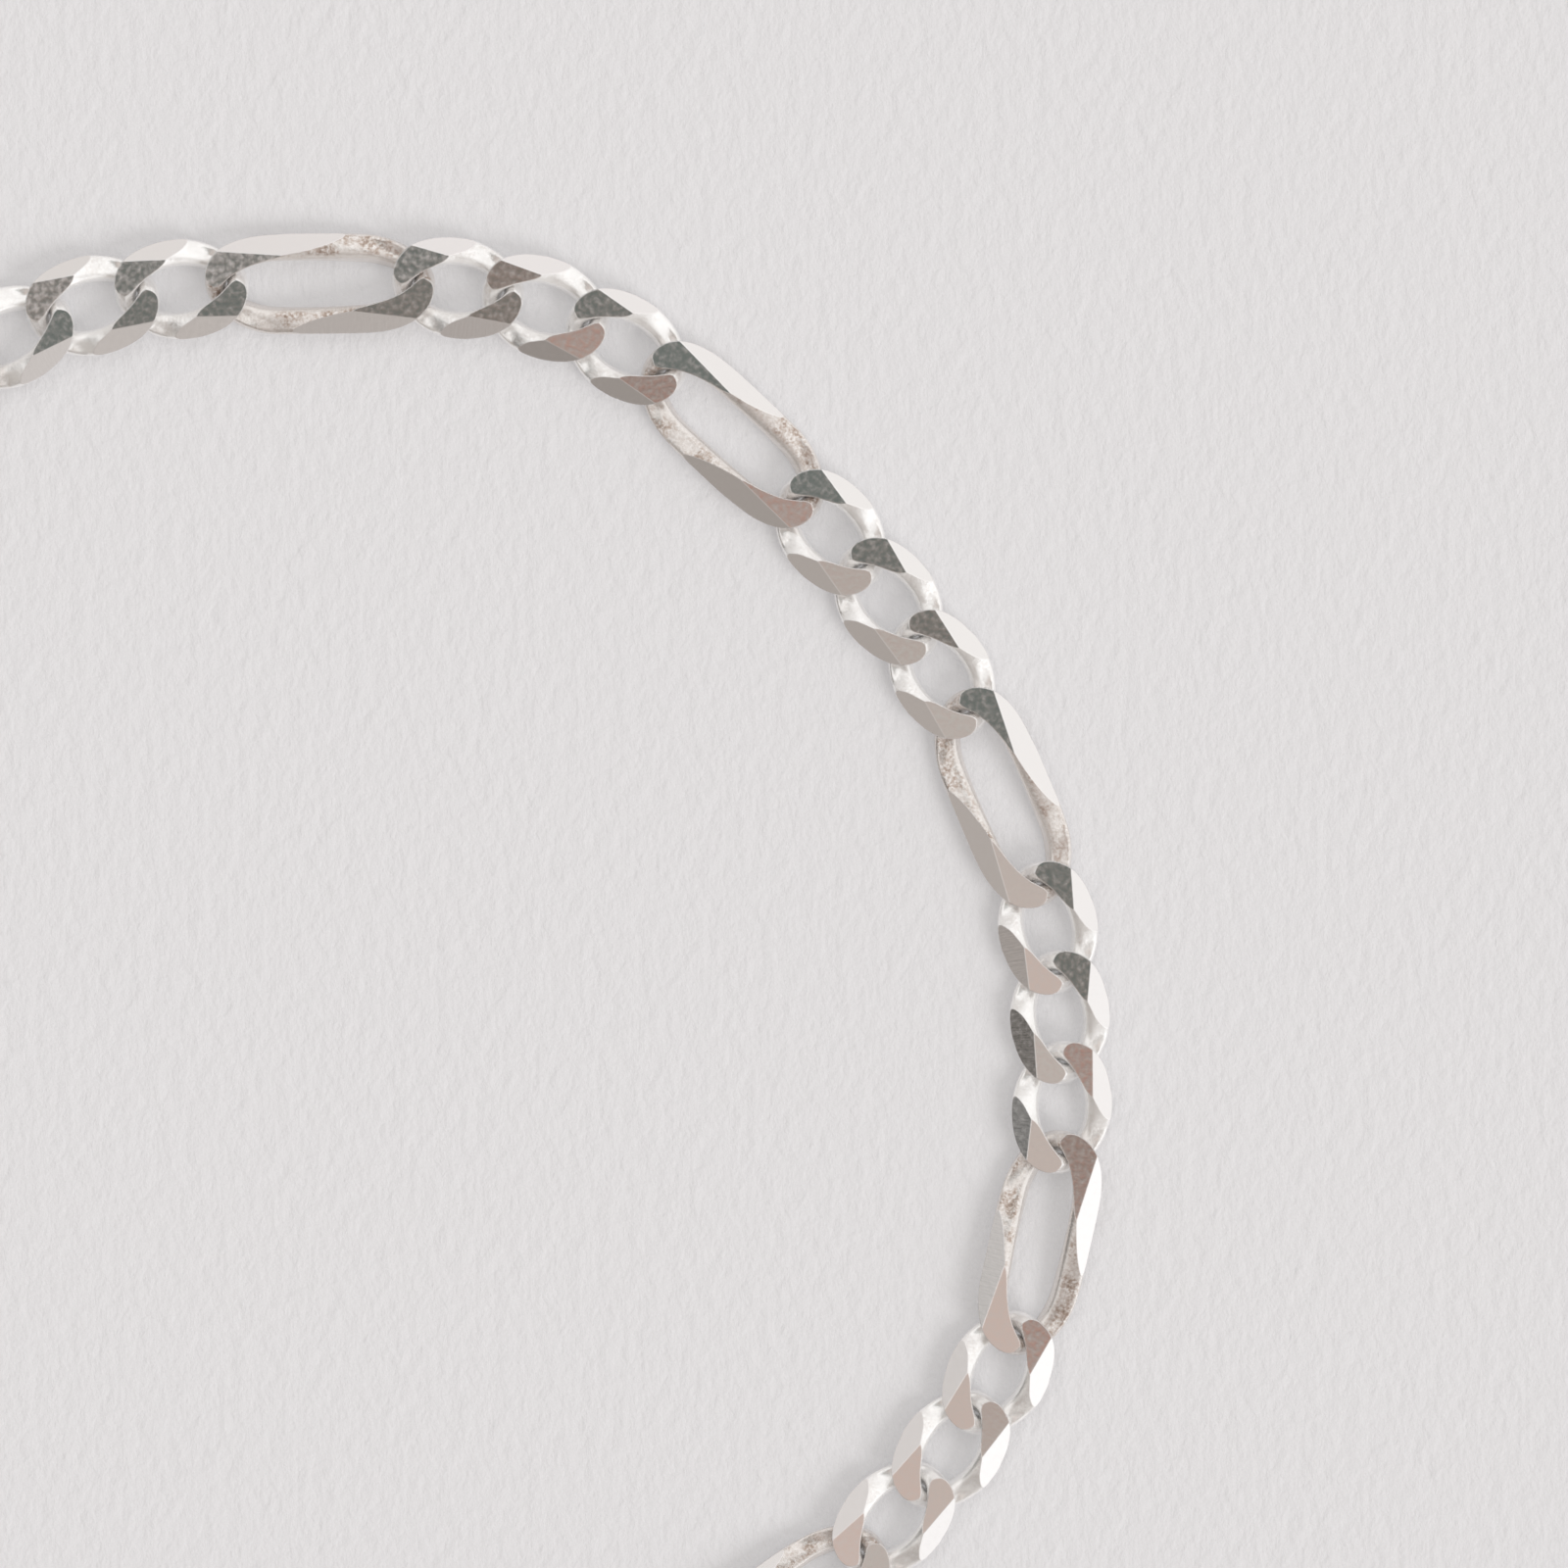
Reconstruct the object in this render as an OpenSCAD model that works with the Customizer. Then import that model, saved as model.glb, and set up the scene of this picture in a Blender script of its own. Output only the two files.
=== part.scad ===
// Flat curb-link bracelet, three short links to each long one, with diamond-cut faces.
// It lies closed on a flat surface, fastened by a small box clasp. Millimetres, z up.

/* [Chain] */
// Overall width across a link
chain_w = 4.1; // [3.9:0.05:4.3]
// Thickness between the two flat faces
chain_t = 1.2; // [1.12:0.02:1.26]
// Overall length of a short link
short_l = 5.44; // [5.3:0.02:5.7]
// Overall length of a long link
long_l = 9.38; // [8.6:0.02:10.2]
// Straight stretch in the sides of a long link
long_straight = 3.4; // [2.8:0.1:3.6]
// Times the pattern of three short links and a long one is repeated
pattern_repeats = 9; // [7:1:11]
// Play left in each joint along the chain
play = 0.16; // [0.14:0.01:0.24]

/* [Wire] */
// Width of a link's side, seen from above
side_wire = 1.02; // [0.94:0.02:1.06]
// Width of a link's end, seen from above
end_wire = 0.75; // [0.68:0.01:0.78]
// Thickness of the wire before its faces are cut
wire_t = 0.9; // [0.8:0.02:0.92]
// Twist of each end out of the link's plane, degrees
twist = 45; // [42:1:48]
// Fullness of a link's outline, 2 being an ellipse
fullness = 2.2; // [2.05:0.05:2.3]

/* [Cut faces] */
// Width across the two flat faces
flat_w = 2.4; // [2.2:0.1:2.7]
// Slope of the bevels along both edges, degrees
bevel = 31; // [28:1:34]

/* [Clasp] */
// Length of the clasp's case
case_l = 8.5; // [7.6:0.1:9.4]
// Width of the clasp's case
case_w = 4.7; // [4.4:0.1:5.2]
// Height of the clasp's case
case_h = 1.9; // [1.7:0.1:2.3]
// Corner radius of the case
case_r = 0.8; // [0.4:0.1:1.2]
// Length of the thumb catch on top of the case
catch_l = 1.5; // [1.2:0.1:2]

/* [Hidden] */
// Points the closed chain runs through, clockwise from the middle of the clasp
route = [
    [-28.9, -10.4], [-30.2, 1.4], [-27, 12.8], [-21, 21.6],
    [-11.6, 28.6], [0.4, 30.2], [10.8, 28.5], [20.5, 20.2],
    [27.9, 9.5], [30.2, -2.2], [28, -13.6], [20.4, -23.1],
    [9.8, -28.6], [-1.9, -30.4], [-13.4, -27.7], [-22.9, -20.6]
];
steps = 24;

// Extra that a cutting shape reaches past what it cuts
over = 1;

// How deep one wire end sits in the curve of the next, and the spacing of the joints
end_a = short_l / 2 - end_wire;
end_b = chain_w / 2 - side_wire;
touch = 0.3 * wire_t;
seat = end_a * (1 - pow(1 - pow(touch / end_b, fullness), 1 / fullness));
lost = 2 * end_wire + 2 * seat + play;
short_pitch = short_l - lost;
long_pitch = long_l - lost;

// The clasp ends in two half links, reached by the case to just past their middles
case_reach = 0.3;
clasp_pitch = case_l - 2 * case_reach + short_pitch;

link_count = 4 * pattern_repeats + 3;
function is_long(i) = i % 4 == 3;
function pitch(i) = is_long(i) ? long_pitch : short_pitch;
links = [for (i = 0, s = clasp_pitch / 2; i <= link_count; s = s + pitch(i), i = i + 1) s];
total = links[link_count] + clasp_pitch / 2;

function two(n) = n < 10 ? str("0", n) : str(n);
function link_name(i) = str(is_long(i) ? "long_link_" : "short_link_", two(i + 1));

// Smooth closed curve through the route, then scaled until it is as long as the chain
function curve(i, t) =
    let (n = len(route), a = route[(i + n - 1) % n], b = route[i % n],
         c = route[(i + 1) % n], d = route[(i + 2) % n])
    0.5 * (2 * b + (c - a) * t + (2 * a - 5 * b + 4 * c - d) * t * t
        + (3 * b - a - 3 * c + d) * t * t * t);
loop = [for (i = [0:len(route) - 1], k = [0:steps - 1]) curve(i, k / steps), route[0]];
run = [for (i = 0, s = 0; i < len(loop);
    i = i + 1, s = i < len(loop) ? s + norm(loop[i] - loop[i - 1]) : s) s];
fit = total / run[len(loop) - 1];
run_x = [for (i = [0:len(loop) - 1]) [run[i] * fit, loop[i][0] * fit]];
run_y = [for (i = [0:len(loop) - 1]) [run[i] * fit, loop[i][1] * fit]];
function at(s) = let (w = (s + total) % total) [lookup(w, run_x), lookup(w, run_y)];

// Set a piece midway between two joints of the chain, level, at half its thickness
module between(s0, s1) {
    a = at(s0);
    b = at(s1);
    translate([(a[0] + b[0]) / 2, (a[1] + b[1]) / 2, chain_t / 2])
        rotate([0, 0, atan2(b[1] - a[1], b[0] - a[0])])
            children();
}

// Twist at a distance x along a link: mostly steady, gathering towards its ends
reach = 2.4;
steady = 0.7;
function ease(t) = let (c = max(0, min(1, t))) c * c * (3 - 2 * c);
function turn(x, l) = twist * sign(x)
    * (steady * abs(x) / (l / 2) + (1 - steady) * ease((abs(x) - (l - short_l) / 2) / reach));
tiny = 0.000001;
function near0(v) = abs(v) < tiny ? 0 : v;

// The wire's inner corners are cut back, and its inner face is this high each way from
// the middle: at a link's sides, then at its ends
side_corner = 0.2;
end_corner = 0.34;
side_face = 0.25;
end_face = 0.08;

// Six corners of the wire's section as [outward, up] pairs, f being 0 at a side, 1 at an end
function blend(a, b, f) = a + (b - a) * f;
function wire(f) =
    let (w = blend(side_wire, end_wire, f), c = blend(side_corner, end_corner, f),
         h = blend(side_face, end_face, f), t = wire_t / 2)
    [[w / 2, t], [c - w / 2, t], [-w / 2, h], [-w / 2, -h], [c - w / 2, -t], [w / 2, -t]];

function wire_ring(v, side, l, s) =
    let (c = near0(cos(v)), d = near0(sin(v)),
         al = l / 2 - end_wire / 2 - s / 2, b = chain_w / 2 - side_wire / 2,
         ex = pow(abs(c), 2 / fullness), ey = pow(abs(d), 2 / fullness),
         mid = [side * s / 2 + sign(c) * al * ex, sign(d) * b * ey],
         n0 = [sign(c) * pow(ex, fullness - 1) / al, sign(d) * pow(ey, fullness - 1) / b],
         n = n0 / norm(n0))
    [for (q = wire(ex * ex))
        let (x = mid[0] + q[0] * n[0], y = mid[1] + q[0] * n[1], a = turn(x, l))
        [x, y * cos(a) + q[1] * sin(a), q[1] * cos(a) - y * sin(a)]];

// A bent and twisted wire loop before its faces are cut, with sections on four equal steps
// to each quarter turn; a long link has the one at each end of its straights twice
quarter = 4;
step = 90 / quarter;
module loop_body(l, s) {
    rings = s > 0
        ? concat([for (k = [-quarter:quarter]) [k * step, 1]],
            [for (k = [quarter:3 * quarter]) [k * step, -1]])
        : [for (k = [0:4 * quarter - 1]) [k * step, 0]];
    n = len(rings);
    points = [for (r = rings) each wire_ring(r[0], r[1], l, s)];
    faces = [for (i = [0:n - 1], j = [0:5])
        let (a = i * 6 + j, b = ((i + 1) % n) * 6 + j,
             c = ((i + 1) % n) * 6 + (j + 1) % 6, d = i * 6 + (j + 1) % 6)
        each [[a, c, b], [a, d, c]]];
    polyhedron(points, faces, convexity = 6);
}

// Bar whose section holds the two flats and four bevels
module cut_section(l, flat, t, slope) {
    tip = flat / 2 + t / 2 / tan(slope);
    rotate([90, 0, 90])
        linear_extrude(height = l, center = true)
            polygon([[flat / 2, t / 2], [-flat / 2, t / 2], [-tip, 0],
                [-flat / 2, -t / 2], [flat / 2, -t / 2], [tip, 0]]);
}

module cut_link(l, s) {
    intersection() {
        loop_body(l, s);
        cut_section(l + 2 * over, flat_w, chain_t, bevel);
    }
}

module link(i) {
    between(links[i], links[i + 1])
        color(is_long(i) ? "gainsboro" : "silver")
            cut_link(is_long(i) ? long_l : short_l, is_long(i) ? long_straight : 0);
}

// The case's bevels, the groove round it where its tongue goes in, and the catch
case_flat = case_w - 1.1;
case_slope = 62;
groove_x = case_l / 2 - 1.9;
groove_w = 0.25;
groove_d = 0.12;
catch_x = case_l / 2 - 3.6;
catch_w = case_w * 0.4;
catch_h = 0.4;
catch_r = 0.3;
catch_sunk = 0.1;

// Plain box clasp: a bevelled case with a catch on top and half a short link at each end
module clasp_case() {
    difference() {
        intersection() {
            linear_extrude(height = case_h)
                rounded_plan(case_l, case_w, case_r);
            translate([0, 0, case_h / 2])
                cut_section(case_l + 2 * over, case_flat, case_h, case_slope);
        }
        translate([groove_x, 0, 0])
            for (z = [0, case_h])
                translate([0, 0, z])
                    cube([groove_w, case_w + over, 2 * groove_d], center = true);
    }
    translate([catch_x, 0, case_h - catch_sunk])
        linear_extrude(height = catch_h + catch_sunk)
            rounded_plan(catch_l, catch_w, catch_r);
}

module rounded_plan(l, w, r) {
    union() {
        square([l - 2 * r, w], center = true);
        square([l, w - 2 * r], center = true);
        for (x = [-1, 1], y = [-1, 1])
            translate([x * (l / 2 - r), y * (w / 2 - r)])
                circle(r = r, $fn = 32);
    }
}

module clasp() {
    offset_x = case_l / 2 - case_reach;
    between(-clasp_pitch / 2, clasp_pitch / 2)
        color("silver")
            union() {
                translate([0, 0, -chain_t / 2])
                    clasp_case();
                for (side = [-1, 1])
                    translate([side * offset_x, 0, 0])
                        intersection() {
                            cut_link(short_l, 0);
                            translate([side * short_l / 2, 0, 0])
                                cube([short_l, chain_w + over, chain_t + over], center = true);
                        }
            }
}

for (i = [0:link_count - 1])
    link(i);
clasp();
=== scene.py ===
"""A flat curb-link bracelet of sterling silver with diamond-cut faces, lying on pale paper."""

import math

import bmesh
import bpy
import numpy as np
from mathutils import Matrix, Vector


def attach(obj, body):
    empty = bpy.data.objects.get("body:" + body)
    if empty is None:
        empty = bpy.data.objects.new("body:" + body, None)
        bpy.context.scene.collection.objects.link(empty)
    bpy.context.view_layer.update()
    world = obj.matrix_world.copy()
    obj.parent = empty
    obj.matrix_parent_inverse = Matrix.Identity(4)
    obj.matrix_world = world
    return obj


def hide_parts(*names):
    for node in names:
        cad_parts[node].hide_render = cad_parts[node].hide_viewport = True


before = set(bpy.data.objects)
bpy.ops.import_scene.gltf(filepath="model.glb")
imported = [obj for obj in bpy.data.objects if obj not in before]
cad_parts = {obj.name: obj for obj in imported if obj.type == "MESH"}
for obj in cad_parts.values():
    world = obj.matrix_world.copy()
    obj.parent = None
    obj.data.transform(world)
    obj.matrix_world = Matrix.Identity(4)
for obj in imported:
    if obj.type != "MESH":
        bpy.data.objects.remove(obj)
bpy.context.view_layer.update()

# Short links
# Each is one loop of sterling silver wire, soldered shut, twisted a quarter turn from end to
# end so that it lies flat through its neighbours, and then cut on a diamond tool: two flats,
# and four bevels along the edges of the chain. Thirty of them.

# Sizes are in millimetres and angles in degrees
MM = 0.001
CHAIN_WIDTH = 4.1
CHAIN_THICKNESS = 1.2
SHORT_LENGTH = 5.44
SIDE_WIRE = 1.10
END_WIRE = 0.85
WIRE_THICKNESS = 0.9
# The twist of each end, the share of it that grows evenly, and the length that the rest takes
END_TWIST = 48
STEADY_SHARE = 0.7
TWIST_REACH = 2.4
# Powers of the outer edge, in the quarters that the twist lifts and in the other two
HIGH_FULLNESS = 2.4
LOW_FULLNESS = 1.85
# Powers of the wire's section, outside and inside, and how much of each is lost at the ends
OUTSIDE_POWER, OUTSIDE_LOSS = 6, 3.4
INSIDE_POWER, INSIDE_LOSS = 2.8, 0.8
# What thickens: its share halfway round the section, how fast that grows outwards, and how much
# the very ends gain
OUTWARD_START = 0.4
OUTWARD_RATE = 2.7
END_GAIN = 0.7
# Steps along a loop and round its wire; a rounded end counts as END_ARC of its mean half widths
SHORT_STEPS = 112
WIRE_STEPS = 32
END_ARC = 2.5


def superellipse(angle, power):
    """Unit outline: cosine and sine, each raised to two over the power with its sign kept."""
    c, s = np.cos(angle), np.sin(angle)
    return (np.sign(c) * np.abs(c) ** (2 / power), np.sign(s) * np.abs(s) ** (2 / power))


def wire_loop(length, straight, along, around):
    """Grid of a twisted wire loop, in millimetres, the chain running along x.

    A superellipse is its outer edge, fuller in the quarters that the twist lifts, and a plain
    ellipse its hole; the halves of both stand apart by the straight stretch. The wire's section
    is a superellipse as wide as the room between them: its outside has a high power and is
    nearly square, its inside a low one and is rounded, and both get rounder towards the ends
    with the square of the outer edge's x. Each point turns about the x axis by an angle that
    grows with x; those of the outer half only move up or down, so that the outline seen from
    above stays.
    """
    u = np.arange(along) / along * 2 * np.pi
    outer_a, outer_b = (length - straight) / 2, CHAIN_WIDTH / 2
    turn, shift = u, 0 * u
    if straight:
        # Part of u runs round each end and part along each side, shared out by their lengths
        share = straight / (straight + END_ARC * (outer_a + outer_b) / 2)
        half, within = np.divmod((u + np.pi / 2) % (2 * np.pi), np.pi)
        round_end = np.clip(within / (np.pi * (1 - share)), 0, 1)
        along_side = np.clip((within / np.pi - (1 - share)) / share, 0, 1)
        turn = (round_end - 0.5 + half) * np.pi
        shift = straight / 2 * (1 - 2 * half) * (1 - 2 * along_side)
    fullness = np.where(np.cos(turn) * np.sin(turn) < 0, HIGH_FULLNESS, LOW_FULLNESS)
    outer_x, outer_y = superellipse(turn, fullness)
    outer = np.stack([shift + outer_a * outer_x, outer_b * outer_y], -1)
    hole = np.stack([shift + (outer_a - END_WIRE) * np.cos(turn),
                     (outer_b - SIDE_WIRE) * np.sin(turn)], -1)
    middle = (outer + hole) / 2
    end_share = outer_x[:, None] ** 2
    v = np.arange(around)[None, :] / around * 2 * np.pi
    q, z = superellipse(v, np.where(np.cos(v) > 0, OUTSIDE_POWER - OUTSIDE_LOSS * end_share,
                                    INSIDE_POWER - INSIDE_LOSS * end_share))
    point = middle[:, None, :] + q[..., None] / 2 * (outer - hole)[:, None, :]
    x, y, z = point[..., 0], point[..., 1], z * WIRE_THICKNESS / 2
    # The rest of the twist follows a smooth step, three squares less two cubes
    near_end = np.clip((np.abs(x) - (length - SHORT_LENGTH) / 2) / TWIST_REACH, 0, 1)
    gather = near_end ** 2 * (3 - 2 * near_end)
    twist = math.radians(END_TWIST) * np.sign(x) * (
        STEADY_SHARE * np.abs(x) / (length / 2) + (1 - STEADY_SHARE) * gather)
    # The outer half thickens until it rests on the level of the link's middle, where the
    # neighbour passes, and on both faces round the very ends
    outward = np.clip(OUTWARD_START + OUTWARD_RATE * np.cos(v), 0, 1)
    level = np.clip(np.abs(y) * np.tan(np.abs(twist)) / (WIRE_THICKNESS / 2) - 1, 0, None)
    inward = (x * y * np.sin(v) > 0) * level + END_GAIN * end_share ** 4
    z = z * (1 + inward * outward)
    turned = y * np.cos(twist) + z * np.sin(twist)
    return np.stack([x, turned + outward * (y - turned), z * np.cos(twist) - y * np.sin(twist)], -1)


def grid_faces(along, around):
    """Quads of a grid that closes on itself both ways."""
    i, j = np.meshgrid(np.arange(along), np.arange(around), indexing="ij")
    k, m = (i + 1) % along, (j + 1) % around
    corners = [i * around + j, k * around + j, k * around + m, i * around + m]
    return np.stack(corners, -1).reshape(-1, 4)


# Width between the creases, slope of the bevels, fall of a flat's two halves, and how far from
# a short link's middle the upper flat stands above the chain's thickness
FLAT_WIDTH = 2.4
BEVEL = 31
FLAT_ROOF = 2.5
PROUD_REACH = 0.6
# How far single cuts stray from that, as standard deviations
ROLL_SPREAD = 0.01
ROOF_SPREAD = 0.7
BEVEL_SPREAD = 1.2
SKEW_SPREAD = 0.02
CREASE_SPREAD = 0.05


def cut_planes(length, chance):
    """Point and outward normal of the flats and bevels, each a little off true.

    Each flat is a roof of two planes that fall from the link's middle towards its ends. The
    lower roof has its ridge at the chain's thickness; the upper one comes down to it
    PROUD_REACH away, and a third of the added length further on a longer link. A bevel is one
    plane through its crease.
    """
    top = CHAIN_THICKNESS / 2
    proud = PROUD_REACH + (length - SHORT_LENGTH) / 3
    planes = []
    for up, start, roll in ((1, proud, chance.normal(0, ROLL_SPREAD)), (-1, 0, 0)):
        for end in (1, -1):
            fall = math.radians(FLAT_ROOF + chance.normal(0, ROOF_SPREAD))
            planes.append((Vector((end * start, 0, up * top)), Vector((end * fall, roll, up))))
    for side in (1, -1):
        for up in (1, -1):
            slope = math.radians(BEVEL + chance.normal(0, BEVEL_SPREAD))
            skew = chance.normal(0, SKEW_SPREAD)
            crease = FLAT_WIDTH / 2 + chance.normal(0, CREASE_SPREAD)
            normal = Vector((skew, side * math.sin(slope), up * math.cos(slope)))
            planes.append((Vector((0, side * crease, up * top)), normal))
    return planes


def node_place(node):
    """Middle and heading of a solid.

    The middle is the mean of its triangles' middles, each counted by its area, and the heading
    the level direction in which those middles spread most.
    """
    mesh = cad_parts[node].data
    mesh.calc_loop_triangles()
    points = np.empty(len(mesh.vertices) * 3)
    mesh.vertices.foreach_get("co", points)
    points = points.reshape(-1, 3)
    corners = np.empty(len(mesh.loop_triangles) * 3, dtype=int)
    mesh.loop_triangles.foreach_get("vertices", corners)
    triangle = points[corners.reshape(-1, 3)]
    area = np.linalg.norm(np.cross(triangle[:, 1] - triangle[:, 0],
                                   triangle[:, 2] - triangle[:, 0]), axis=1)
    middle = (triangle.mean(1) * area[:, None]).sum(0) / area.sum()
    spread = ((triangle.mean(1) - middle) * area[:, None]).T @ (triangle.mean(1) - middle)
    values, vectors = np.linalg.eigh(spread[:2, :2])
    return middle, vectors[:, values.argmax()]


# Slots of a link's materials
FLAT_SLOT, BEVEL_SLOT, SKIN_SLOT = range(3)
# Edges flatter than this are shaded smooth
CREASE_ANGLE = 25
# Each link takes its marks from a place this much further along the pattern
MARKS_APART = (11.3, 7.1)


def make_link(node, length, straight, along, around, seed, materials):
    """One finished link in place of its solid: loop, cuts, creases and a map that follows it.

    rim_share, the size of the cosine of each point's angle round the wire, is 1 at the link's
    outer edge and at its hole, and 0 halfway.
    """
    loop = wire_loop(length, straight, along, around)
    mesh = bpy.data.meshes.new(node + "_cut")
    mesh.from_pydata(loop.reshape(-1, 3).tolist(), [], grid_faces(along, around).tolist())
    rim_share = np.abs(np.cos(np.arange(around) / around * 2 * np.pi))
    mesh.attributes.new("rim_share", "FLOAT", "POINT").data.foreach_set(
        "value", np.tile(rim_share, along))
    work = bmesh.new()
    work.from_mesh(mesh)
    bmesh.ops.recalc_face_normals(work, faces=work.faces)
    for face in work.faces:
        face.material_index = SKIN_SLOT
    steepest_flat = math.sin(math.radians(BEVEL / 2))
    for point, normal in cut_planes(length, np.random.default_rng(seed)):
        bmesh.ops.bisect_plane(work, geom=work.verts[:] + work.edges[:] + work.faces[:],
                               plane_co=point, plane_no=normal, clear_outer=True)
        rim = [edge for edge in work.edges if edge.is_boundary]
        for face in bmesh.ops.holes_fill(work, edges=rim, sides=0)["faces"]:
            face.material_index = FLAT_SLOT if abs(normal.y) < steepest_flat else BEVEL_SLOT
    bmesh.ops.recalc_face_normals(work, faces=work.faces)
    bmesh.ops.triangulate(work, faces=[f for f in work.faces if len(f.verts) > 4])
    for face in work.faces:
        face.smooth = face.material_index == SKIN_SLOT
    for edge in work.edges:
        edge.smooth = edge.calc_face_angle(0) < math.radians(CREASE_ANGLE)
    work.to_mesh(mesh)
    work.free()
    local = np.empty(len(mesh.vertices) * 3)
    mesh.vertices.foreach_get("co", local)
    local = local.reshape(-1, 3)
    corner = np.empty(len(mesh.loops), dtype=int)
    mesh.loops.foreach_get("vertex_index", corner)
    mesh.uv_layers.new(name="along_link").data.foreach_set(
        "uv", (local[corner][:, :2] + seed * np.array(MARKS_APART)).ravel())
    middle, heading = node_place(node)
    placed = np.stack([local[:, 0] * heading[0] - local[:, 1] * heading[1],
                       local[:, 0] * heading[1] + local[:, 1] * heading[0], local[:, 2]], -1)
    mesh.vertices.foreach_set("co", (placed * MM + middle).ravel())
    for material in materials:
        mesh.materials.append(material)
    mesh.update()
    link = bpy.data.objects.new(node + "_cut", mesh)
    bpy.context.scene.collection.objects.link(link)
    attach(link, "root")
    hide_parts(node)


def from_hex(code):
    """Linear colour of an sRGB hex value such as #c0c0c0."""
    value = np.array([int(code[i:i + 2], 16) / 255 for i in (1, 3, 5)])
    linear = np.where(value <= 0.04045, value / 12.92, ((value + 0.055) / 1.055) ** 2.4)
    return (*linear.tolist(), 1)


def add_node(tree, kind, settings=(), sockets=(), links=()):
    """Adds a shader node, sets its properties and sockets, and links sources to its sockets."""
    node = tree.nodes.new(kind)
    for name, value in dict(settings).items():
        setattr(node, name, value)
    for name, value in dict(sockets).items():
        node.inputs[name].default_value = value
    for name, source in dict(links).items():
        tree.links.new(source, node.inputs[name])
    return node


def new_material(name, settings):
    """A material with its Principled shader set from a dictionary."""
    material = bpy.data.materials.new(name)
    material.use_nodes = True
    shader = material.node_tree.nodes["Principled BSDF"]
    for socket, value in settings.items():
        shader.inputs[socket].default_value = value
    return material, material.node_tree, shader


# Diamond-cut sterling: a mirror, softly clouded by wear and crossed by the cutter's marks,
# which show more on the bevels than on the flats
EDGE_ROUND = 0.06
MARK_SPACING = 0.09
MARK_LENGTH = 1.1
MARK_DEPTH = 0.008
CLOUD_SIZE = 0.22
CLOUD_DEPTH = 0.012
cut_finishes = []
for name, mark_strength in (("flat", 0.06), ("bevel", 0.2)):
    finish, tree, shader = new_material("sterling_silver_diamond_cut_" + name, {
        "Base Color": from_hex("#f6f3f2"), "Metallic": 1.0, "Roughness": 0.14})
    uv = add_node(tree, "ShaderNodeUVMap", {"uv_map": "along_link"})
    stretch = add_node(tree, "ShaderNodeMapping", {}, {
        "Scale": (1 / MARK_SPACING, 1 / MARK_LENGTH, 1)}, {"Vector": uv.outputs[0]})
    marks = add_node(tree, "ShaderNodeTexNoise", {}, {"Scale": 1.0, "Detail": 4.0,
                     "Distortion": 0.3}, {"Vector": stretch.outputs[0]})
    cloud = add_node(tree, "ShaderNodeTexNoise", {}, {"Scale": 1 / CLOUD_SIZE,
                     "Detail": 2.0, "Roughness": 0.5}, {"Vector": uv.outputs[0]})
    haze = add_node(tree, "ShaderNodeMapRange", {}, {"From Min": 0.35, "From Max": 0.75,
                    "To Min": 0.1, "To Max": 0.24}, {"Value": cloud.outputs["Fac"]})
    tree.links.new(haze.outputs[0], shader.inputs["Roughness"])
    round_edge = add_node(tree, "ShaderNodeBevel", {"samples": 4}, {"Radius": EDGE_ROUND * MM})
    ripple = add_node(tree, "ShaderNodeBump", {}, {"Strength": 0.14, "Distance": CLOUD_DEPTH * MM},
                      {"Height": cloud.outputs["Fac"], "Normal": round_edge.outputs[0]})
    bump = add_node(tree, "ShaderNodeBump", {}, {"Strength": mark_strength,
                    "Distance": MARK_DEPTH * MM},
                    {"Height": marks.outputs["Fac"], "Normal": ripple.outputs[0]})
    tree.links.new(bump.outputs[0], shader.inputs["Normal"])
    cut_finishes.append(finish)

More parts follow.
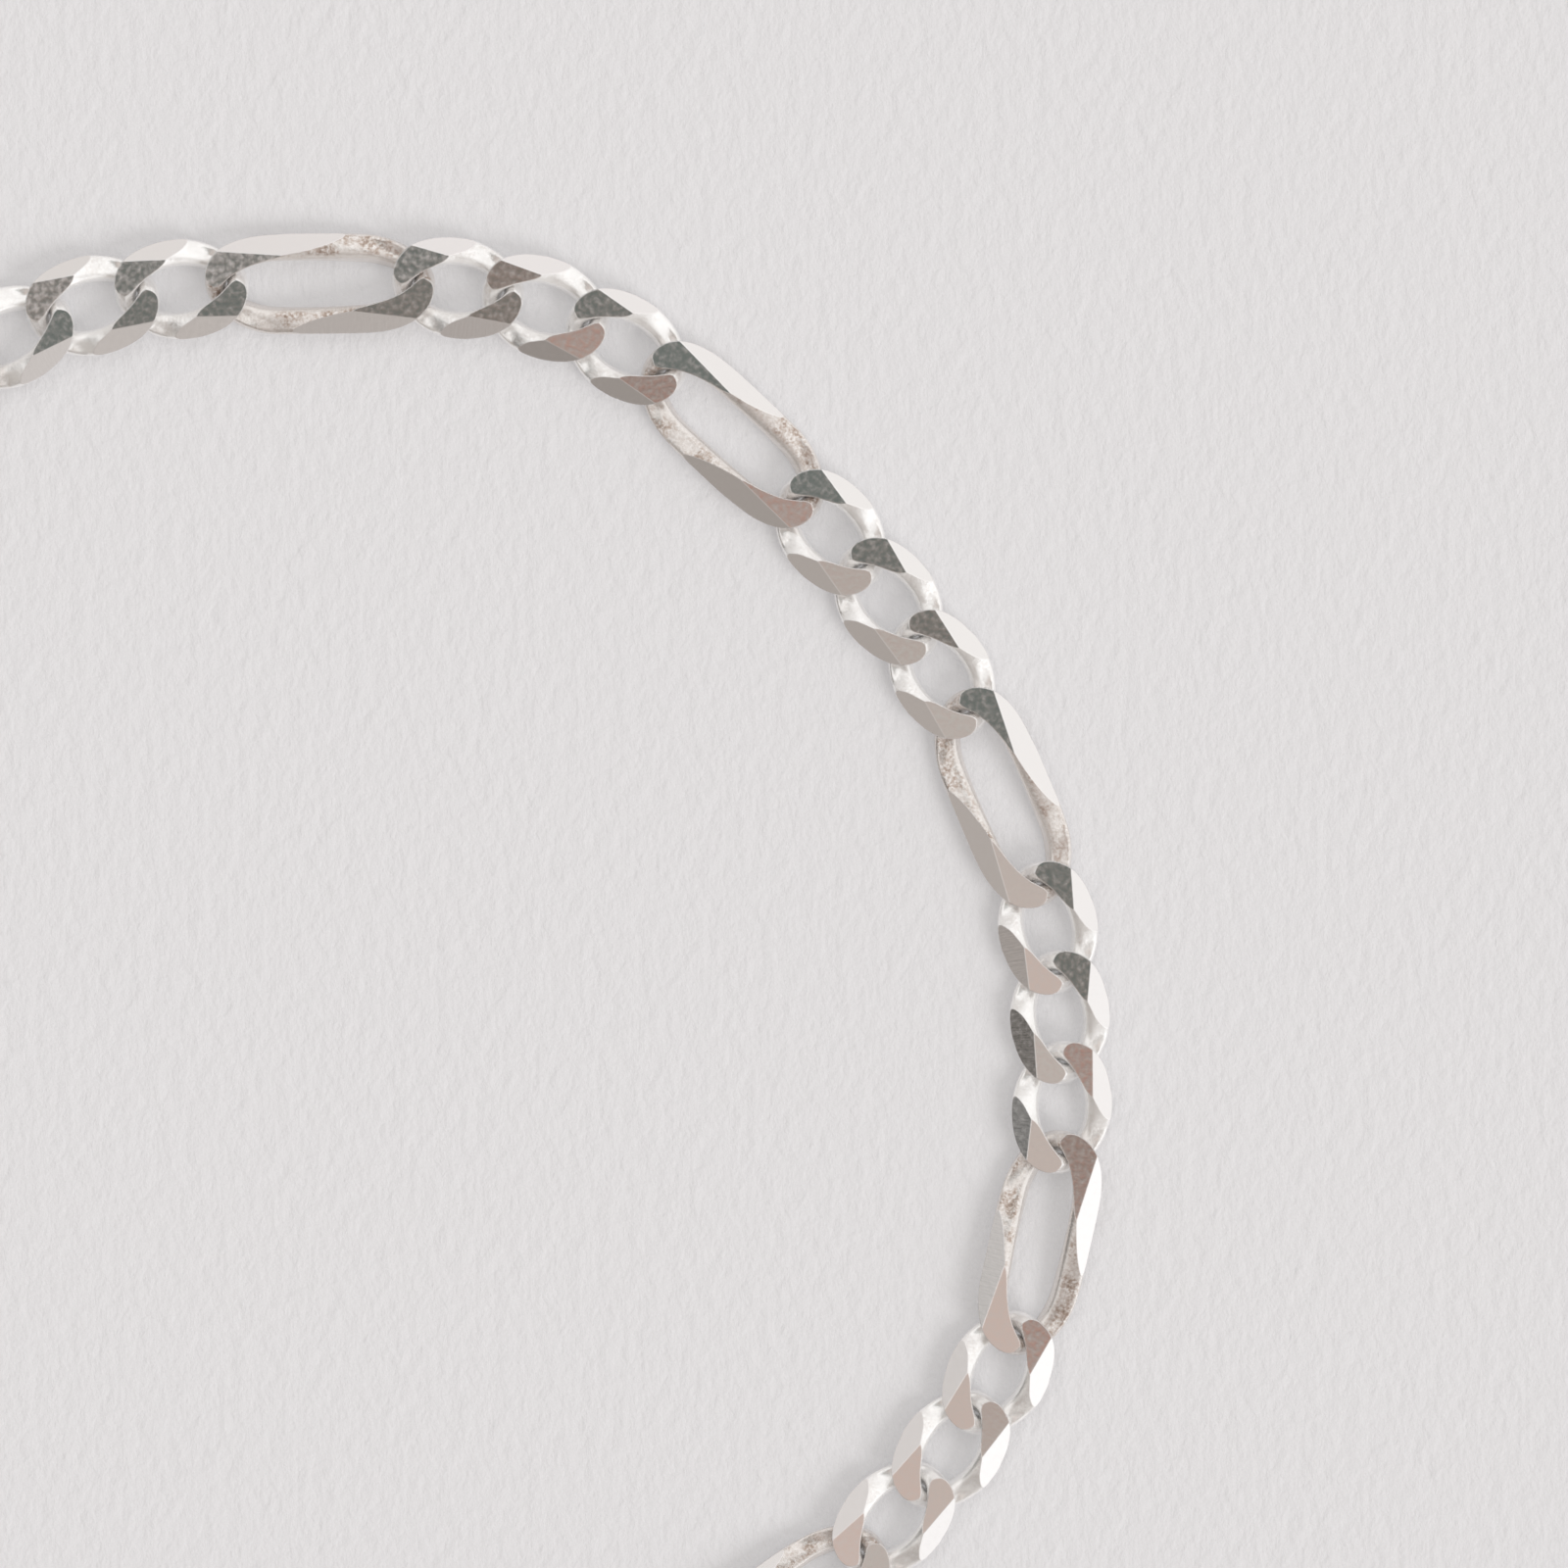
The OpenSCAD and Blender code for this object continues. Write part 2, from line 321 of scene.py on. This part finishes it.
# The wire's own skin where no face was cut: frosted white from pickling on the short links.
# The long ones keep a grey-brown fire stain, in patches about a millimetre across, broken into
# specks a seventh of that. Along the outer edge and the hole the stain thins, for wear there and
# as a painted reflection of the bright walls that these sides mirror.
PATCH_SIZE = 1.0
SPECK_SIZE = 0.14
PIT_DEPTH = 0.03
wire_skins = {}
for kind, clean, most in (("short", "#fffefd", 0.15), ("long", "#efebe8", 0.85)):
    skin, tree, shader = new_material("sterling_silver_pickled_skin_" + kind, {
        "Base Color": from_hex(clean), "Metallic": 0.8, "Roughness": 0.27})
    place = add_node(tree, "ShaderNodeTexCoord")
    patches = add_node(tree, "ShaderNodeTexNoise", {}, {"Scale": 1 / (PATCH_SIZE * MM),
                       "Detail": 2.0}, {"Vector": place.outputs["Object"]})
    specks = add_node(tree, "ShaderNodeTexNoise", {}, {"Scale": 1 / (SPECK_SIZE * MM),
                      "Detail": 3.0, "Roughness": 0.7}, {"Vector": place.outputs["Object"]})
    patch_share = add_node(tree, "ShaderNodeMapRange", {}, {"From Min": 0.42, "From Max": 0.64,
                           "To Min": 0.25 * most, "To Max": most}, {"Value": patches.outputs[0]})
    speck_share = add_node(tree, "ShaderNodeMapRange", {}, {"From Min": 0.35, "From Max": 0.65},
                           {"Value": specks.outputs["Fac"]})
    rim = add_node(tree, "ShaderNodeAttribute", {"attribute_name": "rim_share"})
    # Less stain towards the outer edge and the hole: wear there, and a painted reflection of the
    # bright walls
    stain_off_worn_sheen_rim = add_node(tree, "ShaderNodeMapRange", {}, {"From Min": 0.4, "From Max": 0.75,
                      "To Min": 1.0, "To Max": 0.1}, {"Value": rim.outputs["Fac"]})
    patches_off_worn_sheen_rim = add_node(tree, "ShaderNodeMath", {"operation": "MULTIPLY"}, {},
                              {0: patch_share.outputs[0], 1: stain_off_worn_sheen_rim.outputs[0]})
    stain_share = add_node(tree, "ShaderNodeMath", {"operation": "MULTIPLY"}, {},
                           {0: patches_off_worn_sheen_rim.outputs[0], 1: speck_share.outputs[0]})
    stain = add_node(tree, "ShaderNodeValToRGB", {}, {}, {"Fac": stain_share.outputs[0]})
    stain.color_ramp.elements[0].color = from_hex(clean)
    stain.color_ramp.elements[1].color = from_hex("#7a6a60")
    stain.color_ramp.elements.new(0.55).color = from_hex("#b6a599")
    tree.links.new(stain.outputs[0], shader.inputs["Base Color"])
    round_edge = add_node(tree, "ShaderNodeBevel", {"samples": 4}, {"Radius": EDGE_ROUND * MM})
    bump = add_node(tree, "ShaderNodeBump", {"invert": True}, {"Strength": 0.3,
                    "Distance": PIT_DEPTH * MM},
                    {"Height": specks.outputs["Fac"], "Normal": round_edge.outputs[0]})
    tree.links.new(bump.outputs[0], shader.inputs["Normal"])
    wire_skins[kind] = skin

link_nodes = sorted((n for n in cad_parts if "link" in n), key=lambda n: n[-2:])
for number, node in enumerate(link_nodes):
    if node.startswith("short"):
        make_link(node, SHORT_LENGTH, 0, SHORT_STEPS, WIRE_STEPS, number,
                  (*cut_finishes, wire_skins["short"]))

# Long links
# The same wire and the same cuts on a loop with a straight stretch in both sides, so the flats
# and bevels run out into long points. Every fourth link; nine of them.

LONG_LENGTH = 9.38
LONG_STRAIGHT = 3.4
LONG_STEPS = 176
for number, node in enumerate(link_nodes):
    if node.startswith("long"):
        make_link(node, LONG_LENGTH, LONG_STRAIGHT, LONG_STEPS, WIRE_STEPS, number,
                  (*cut_finishes, wire_skins["long"]))

# Clasp
# A plain box clasp of sterling sheet, outside the photograph's view, rubbed to a satin finish
# along its length, which gives it a soft sheen with fine lines. The solid has its shape already
# and keeps it.

RUB_LENGTH = 3.5
RUB_WIDTH = 0.1
RUB_DEPTH = 0.01
CLASP_EDGE_ROUND = 0.12
satin_silver, tree, shader = new_material("sterling_silver_satin", {
    "Base Color": from_hex("#f4f2f0"), "Metallic": 1.0, "Roughness": 0.24})
middle, heading = node_place("clasp")
place = add_node(tree, "ShaderNodeTexCoord")
along_clasp = add_node(tree, "ShaderNodeMapping", {"vector_type": "TEXTURE"}, {
    "Rotation": (0, 0, math.atan2(heading[1], heading[0])),
    "Scale": (RUB_LENGTH * MM, RUB_WIDTH * MM, RUB_WIDTH * MM)}, {"Vector": place.outputs["Object"]})
rubs = add_node(tree, "ShaderNodeTexNoise", {}, {"Scale": 1.0, "Detail": 4.0},
                {"Vector": along_clasp.outputs[0]})
round_edge = add_node(tree, "ShaderNodeBevel", {"samples": 4}, {"Radius": CLASP_EDGE_ROUND * MM})
bump = add_node(tree, "ShaderNodeBump", {}, {"Strength": 0.3, "Distance": RUB_DEPTH * MM},
                {"Height": rubs.outputs["Fac"], "Normal": round_edge.outputs[0]})
tree.links.new(bump.outputs[0], shader.inputs["Normal"])
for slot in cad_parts["clasp"].material_slots:
    slot.material = satin_silver

# Surface
# A sheet of off-white uncoated paper without a shine, wider than any view of the bracelet. Its
# faint tooth runs up and down the photograph. It also glows with painted light, which stands
# for the room's light and lifts the shade of its shadows and of the links' holes.

PAPER_SIDE = 1600
# Strength of the paper's painted glow, which lightens the shadows on it and in the links' holes
PAINTED_PAPER_GLOW = 0.275
TOOTH_WIDTH = 0.6
TOOTH_LENGTH = 0.95
TOOTH_DEPTH = 0.16
paper_mesh = bpy.data.meshes.new("paper")
corner = PAPER_SIDE / 2 * MM
paper_mesh.from_pydata([(-corner, -corner, 0), (corner, -corner, 0), (corner, corner, 0),
                        (-corner, corner, 0)], [], [(0, 1, 2, 3)])
paper = bpy.data.objects.new("paper", paper_mesh)
bpy.context.scene.collection.objects.link(paper)
paper_stock, tree, shader = new_material("uncoated_paper", {
    "Base Color": from_hex("#bbb9ba"), "Roughness": 0.9,
    "Emission Color": from_hex("#f4f4f5"), "Emission Strength": PAINTED_PAPER_GLOW})
place = add_node(tree, "ShaderNodeTexCoord")
grain = add_node(tree, "ShaderNodeMapping", {"vector_type": "TEXTURE"}, {
    "Scale": (TOOTH_WIDTH * MM, TOOTH_LENGTH * MM, MM)}, {"Vector": place.outputs["Object"]})
tooth = add_node(tree, "ShaderNodeTexNoise", {}, {"Scale": 1.0, "Detail": 6.0, "Roughness": 0.6},
                 {"Vector": grain.outputs[0]})
bump = add_node(tree, "ShaderNodeBump", {}, {"Strength": 0.9, "Distance": TOOTH_DEPTH * MM},
                {"Height": tooth.outputs["Fac"]})
tree.links.new(bump.outputs[0], shader.inputs["Normal"])
paper_mesh.materials.append(paper_stock)

# Light
# A white room, brightest at its window to the lower right: the bevels mirror its walls, and the
# flats the dim stand straight above them. One broad lamp is the window's light on the paper; it
# throws the shadows up and to the left, and the metal doesn't mirror it.

# Strengths; ROOM_LIGHT takes the window's colour to full white
ROOM_LIGHT = 1.12
LAMP_LIGHT = 1.5
LAMP_SPREAD = 30
LAMP_DIRECTION = (1, -0.9, 0.9)
# Heights at which walls give way to ceiling and ceiling to stand, as the sine of the height
# above the paper, and how far the stand and the dim part of the ceiling reach to the front
CEILING_FROM, CEILING_TO = 0.55, 0.8
STAND_FROM, STAND_TO = 0.94, 0.97
STAND_REACH = 0.16
DIM_REACH = 0.5
world = bpy.data.worlds.new("studio")
bpy.context.scene.world = world
world.use_nodes = True
tree = world.node_tree
tree.nodes.clear()
direction = add_node(tree, "ShaderNodeTexCoord").outputs["Generated"]
parts = add_node(tree, "ShaderNodeSeparateXYZ", {}, {}, {0: direction})
bearing = add_node(tree, "ShaderNodeMath", {"operation": "ARCTAN2"}, {},
                   {0: parts.outputs["Y"], 1: parts.outputs["X"]})
turn_share = add_node(tree, "ShaderNodeMapRange", {}, {"From Min": -math.pi, "From Max": math.pi},
                      {"Value": bearing.outputs[0]})
# The stand, along a line from the photograph's lower edge to its upper one
lean = add_node(tree, "ShaderNodeMapRange", {}, {"From Min": -STAND_REACH,
                "From Max": STAND_REACH}, {"Value": parts.outputs["Y"]})
# The ceiling is dim towards the photograph's lower edge and white from its middle on
leaning = add_node(tree, "ShaderNodeMapRange", {}, {"From Min": -DIM_REACH, "From Max": 0.0},
                   {"Value": parts.outputs["Y"]})
# Bearings in degrees from the photograph's right, and the colour of the room there: a doorway,
# the left wall, the dim near wall, the window and the far wall
room_round = [(-180, "#484846"), (-176, "#131312"), (-171, "#5c5a56"), (-163, "#aaa49f"),
              (-145, "#aaa49f"), (-122, "#8e8984"), (-108, "#928c88"), (-90, "#bcb7b3"),
              (-68, "#c4c0bd"), (-40, "#ffffff"), (-12, "#ffffff"), (0, "#efeeed"),
              (40, "#ecebe9"), (90, "#e3e0df"), (106, "#d7d4d1"), (150, "#cecbc9"),
              (168, "#b9b6b3"), (176, "#747471")]
stand_stops = [(0.0, "#c1afa6"), (0.27, "#b3b0ab"), (0.42, "#a9a59f"), (0.5, "#ae877a"),
               (0.57, "#9c7c72"), (0.64, "#747069"), (0.8, "#606562"), (1.0, "#69706c")]
ceiling_stops = [(0.0, "#9d9691"), (1.0, "#fdfcfb")]
ramps = []
for source, stops in ((turn_share, [((b + 180) / 360, c) for b, c in room_round]),
                      (lean, stand_stops), (leaning, ceiling_stops)):
    ramp = add_node(tree, "ShaderNodeValToRGB", {}, {}, {"Fac": source.outputs[0]})
    while len(ramp.color_ramp.elements) < len(stops):
        ramp.color_ramp.elements.new(0.5)
    for element, (position, colour) in zip(ramp.color_ramp.elements, stops):
        element.position = position
        element.color = from_hex(colour)
    ramps.append(ramp.outputs[0])
walls, stand, ceiling = ramps
ceiling_share = add_node(tree, "ShaderNodeMapRange", {}, {"From Min": CEILING_FROM,
                         "From Max": CEILING_TO}, {"Value": parts.outputs["Z"]})
indoors = add_node(tree, "ShaderNodeMix", {"data_type": "RGBA"}, {},
                   {0: ceiling_share.outputs[0], 6: walls, 7: ceiling})
stand_share = add_node(tree, "ShaderNodeMapRange", {}, {"From Min": STAND_FROM,
                       "From Max": STAND_TO}, {"Value": parts.outputs["Z"]})
room = add_node(tree, "ShaderNodeMix", {"data_type": "RGBA"}, {},
                {0: stand_share.outputs[0], 6: indoors.outputs[2], 7: stand})
background = add_node(tree, "ShaderNodeBackground", {}, {"Strength": ROOM_LIGHT},
                      {"Color": room.outputs[2]})
add_node(tree, "ShaderNodeOutputWorld", {}, {}, {"Surface": background.outputs[0]})

lamp = bpy.data.lights.new("window", "SUN")
lamp.energy = LAMP_LIGHT
lamp.angle = math.radians(LAMP_SPREAD)
window = bpy.data.objects.new("window", lamp)
window.rotation_euler = Vector(LAMP_DIRECTION).to_track_quat("Z", "Y").to_euler()
window.visible_glossy = False
bpy.context.scene.collection.objects.link(window)
bpy.context.scene.view_settings.view_transform = "Standard"

# Camera
# Straight above the middle of the photograph, which shows 64 mm of the surface from side to
# side. The ring's middle is given in the photograph's pixels.

PHOTO_PIXELS = 1600
PIXEL = 0.04
LOOP_MIDDLE_PIXEL = (330, 1042.5)
CAMERA_HEIGHT = 250
SENSOR_WIDTH = 36
camera_data = bpy.data.cameras.new("above")
camera_data.sensor_width = SENSOR_WIDTH
camera_data.lens = SENSOR_WIDTH * CAMERA_HEIGHT / (PHOTO_PIXELS * PIXEL)
camera_data.clip_start = 0.001
camera = bpy.data.objects.new("above", camera_data)
camera.location = ((PHOTO_PIXELS / 2 - LOOP_MIDDLE_PIXEL[0]) * PIXEL * MM,
                   (LOOP_MIDDLE_PIXEL[1] - PHOTO_PIXELS / 2) * PIXEL * MM,
                   (CAMERA_HEIGHT + CHAIN_THICKNESS / 2) * MM)
bpy.context.scene.collection.objects.link(camera)
bpy.context.scene.camera = camera
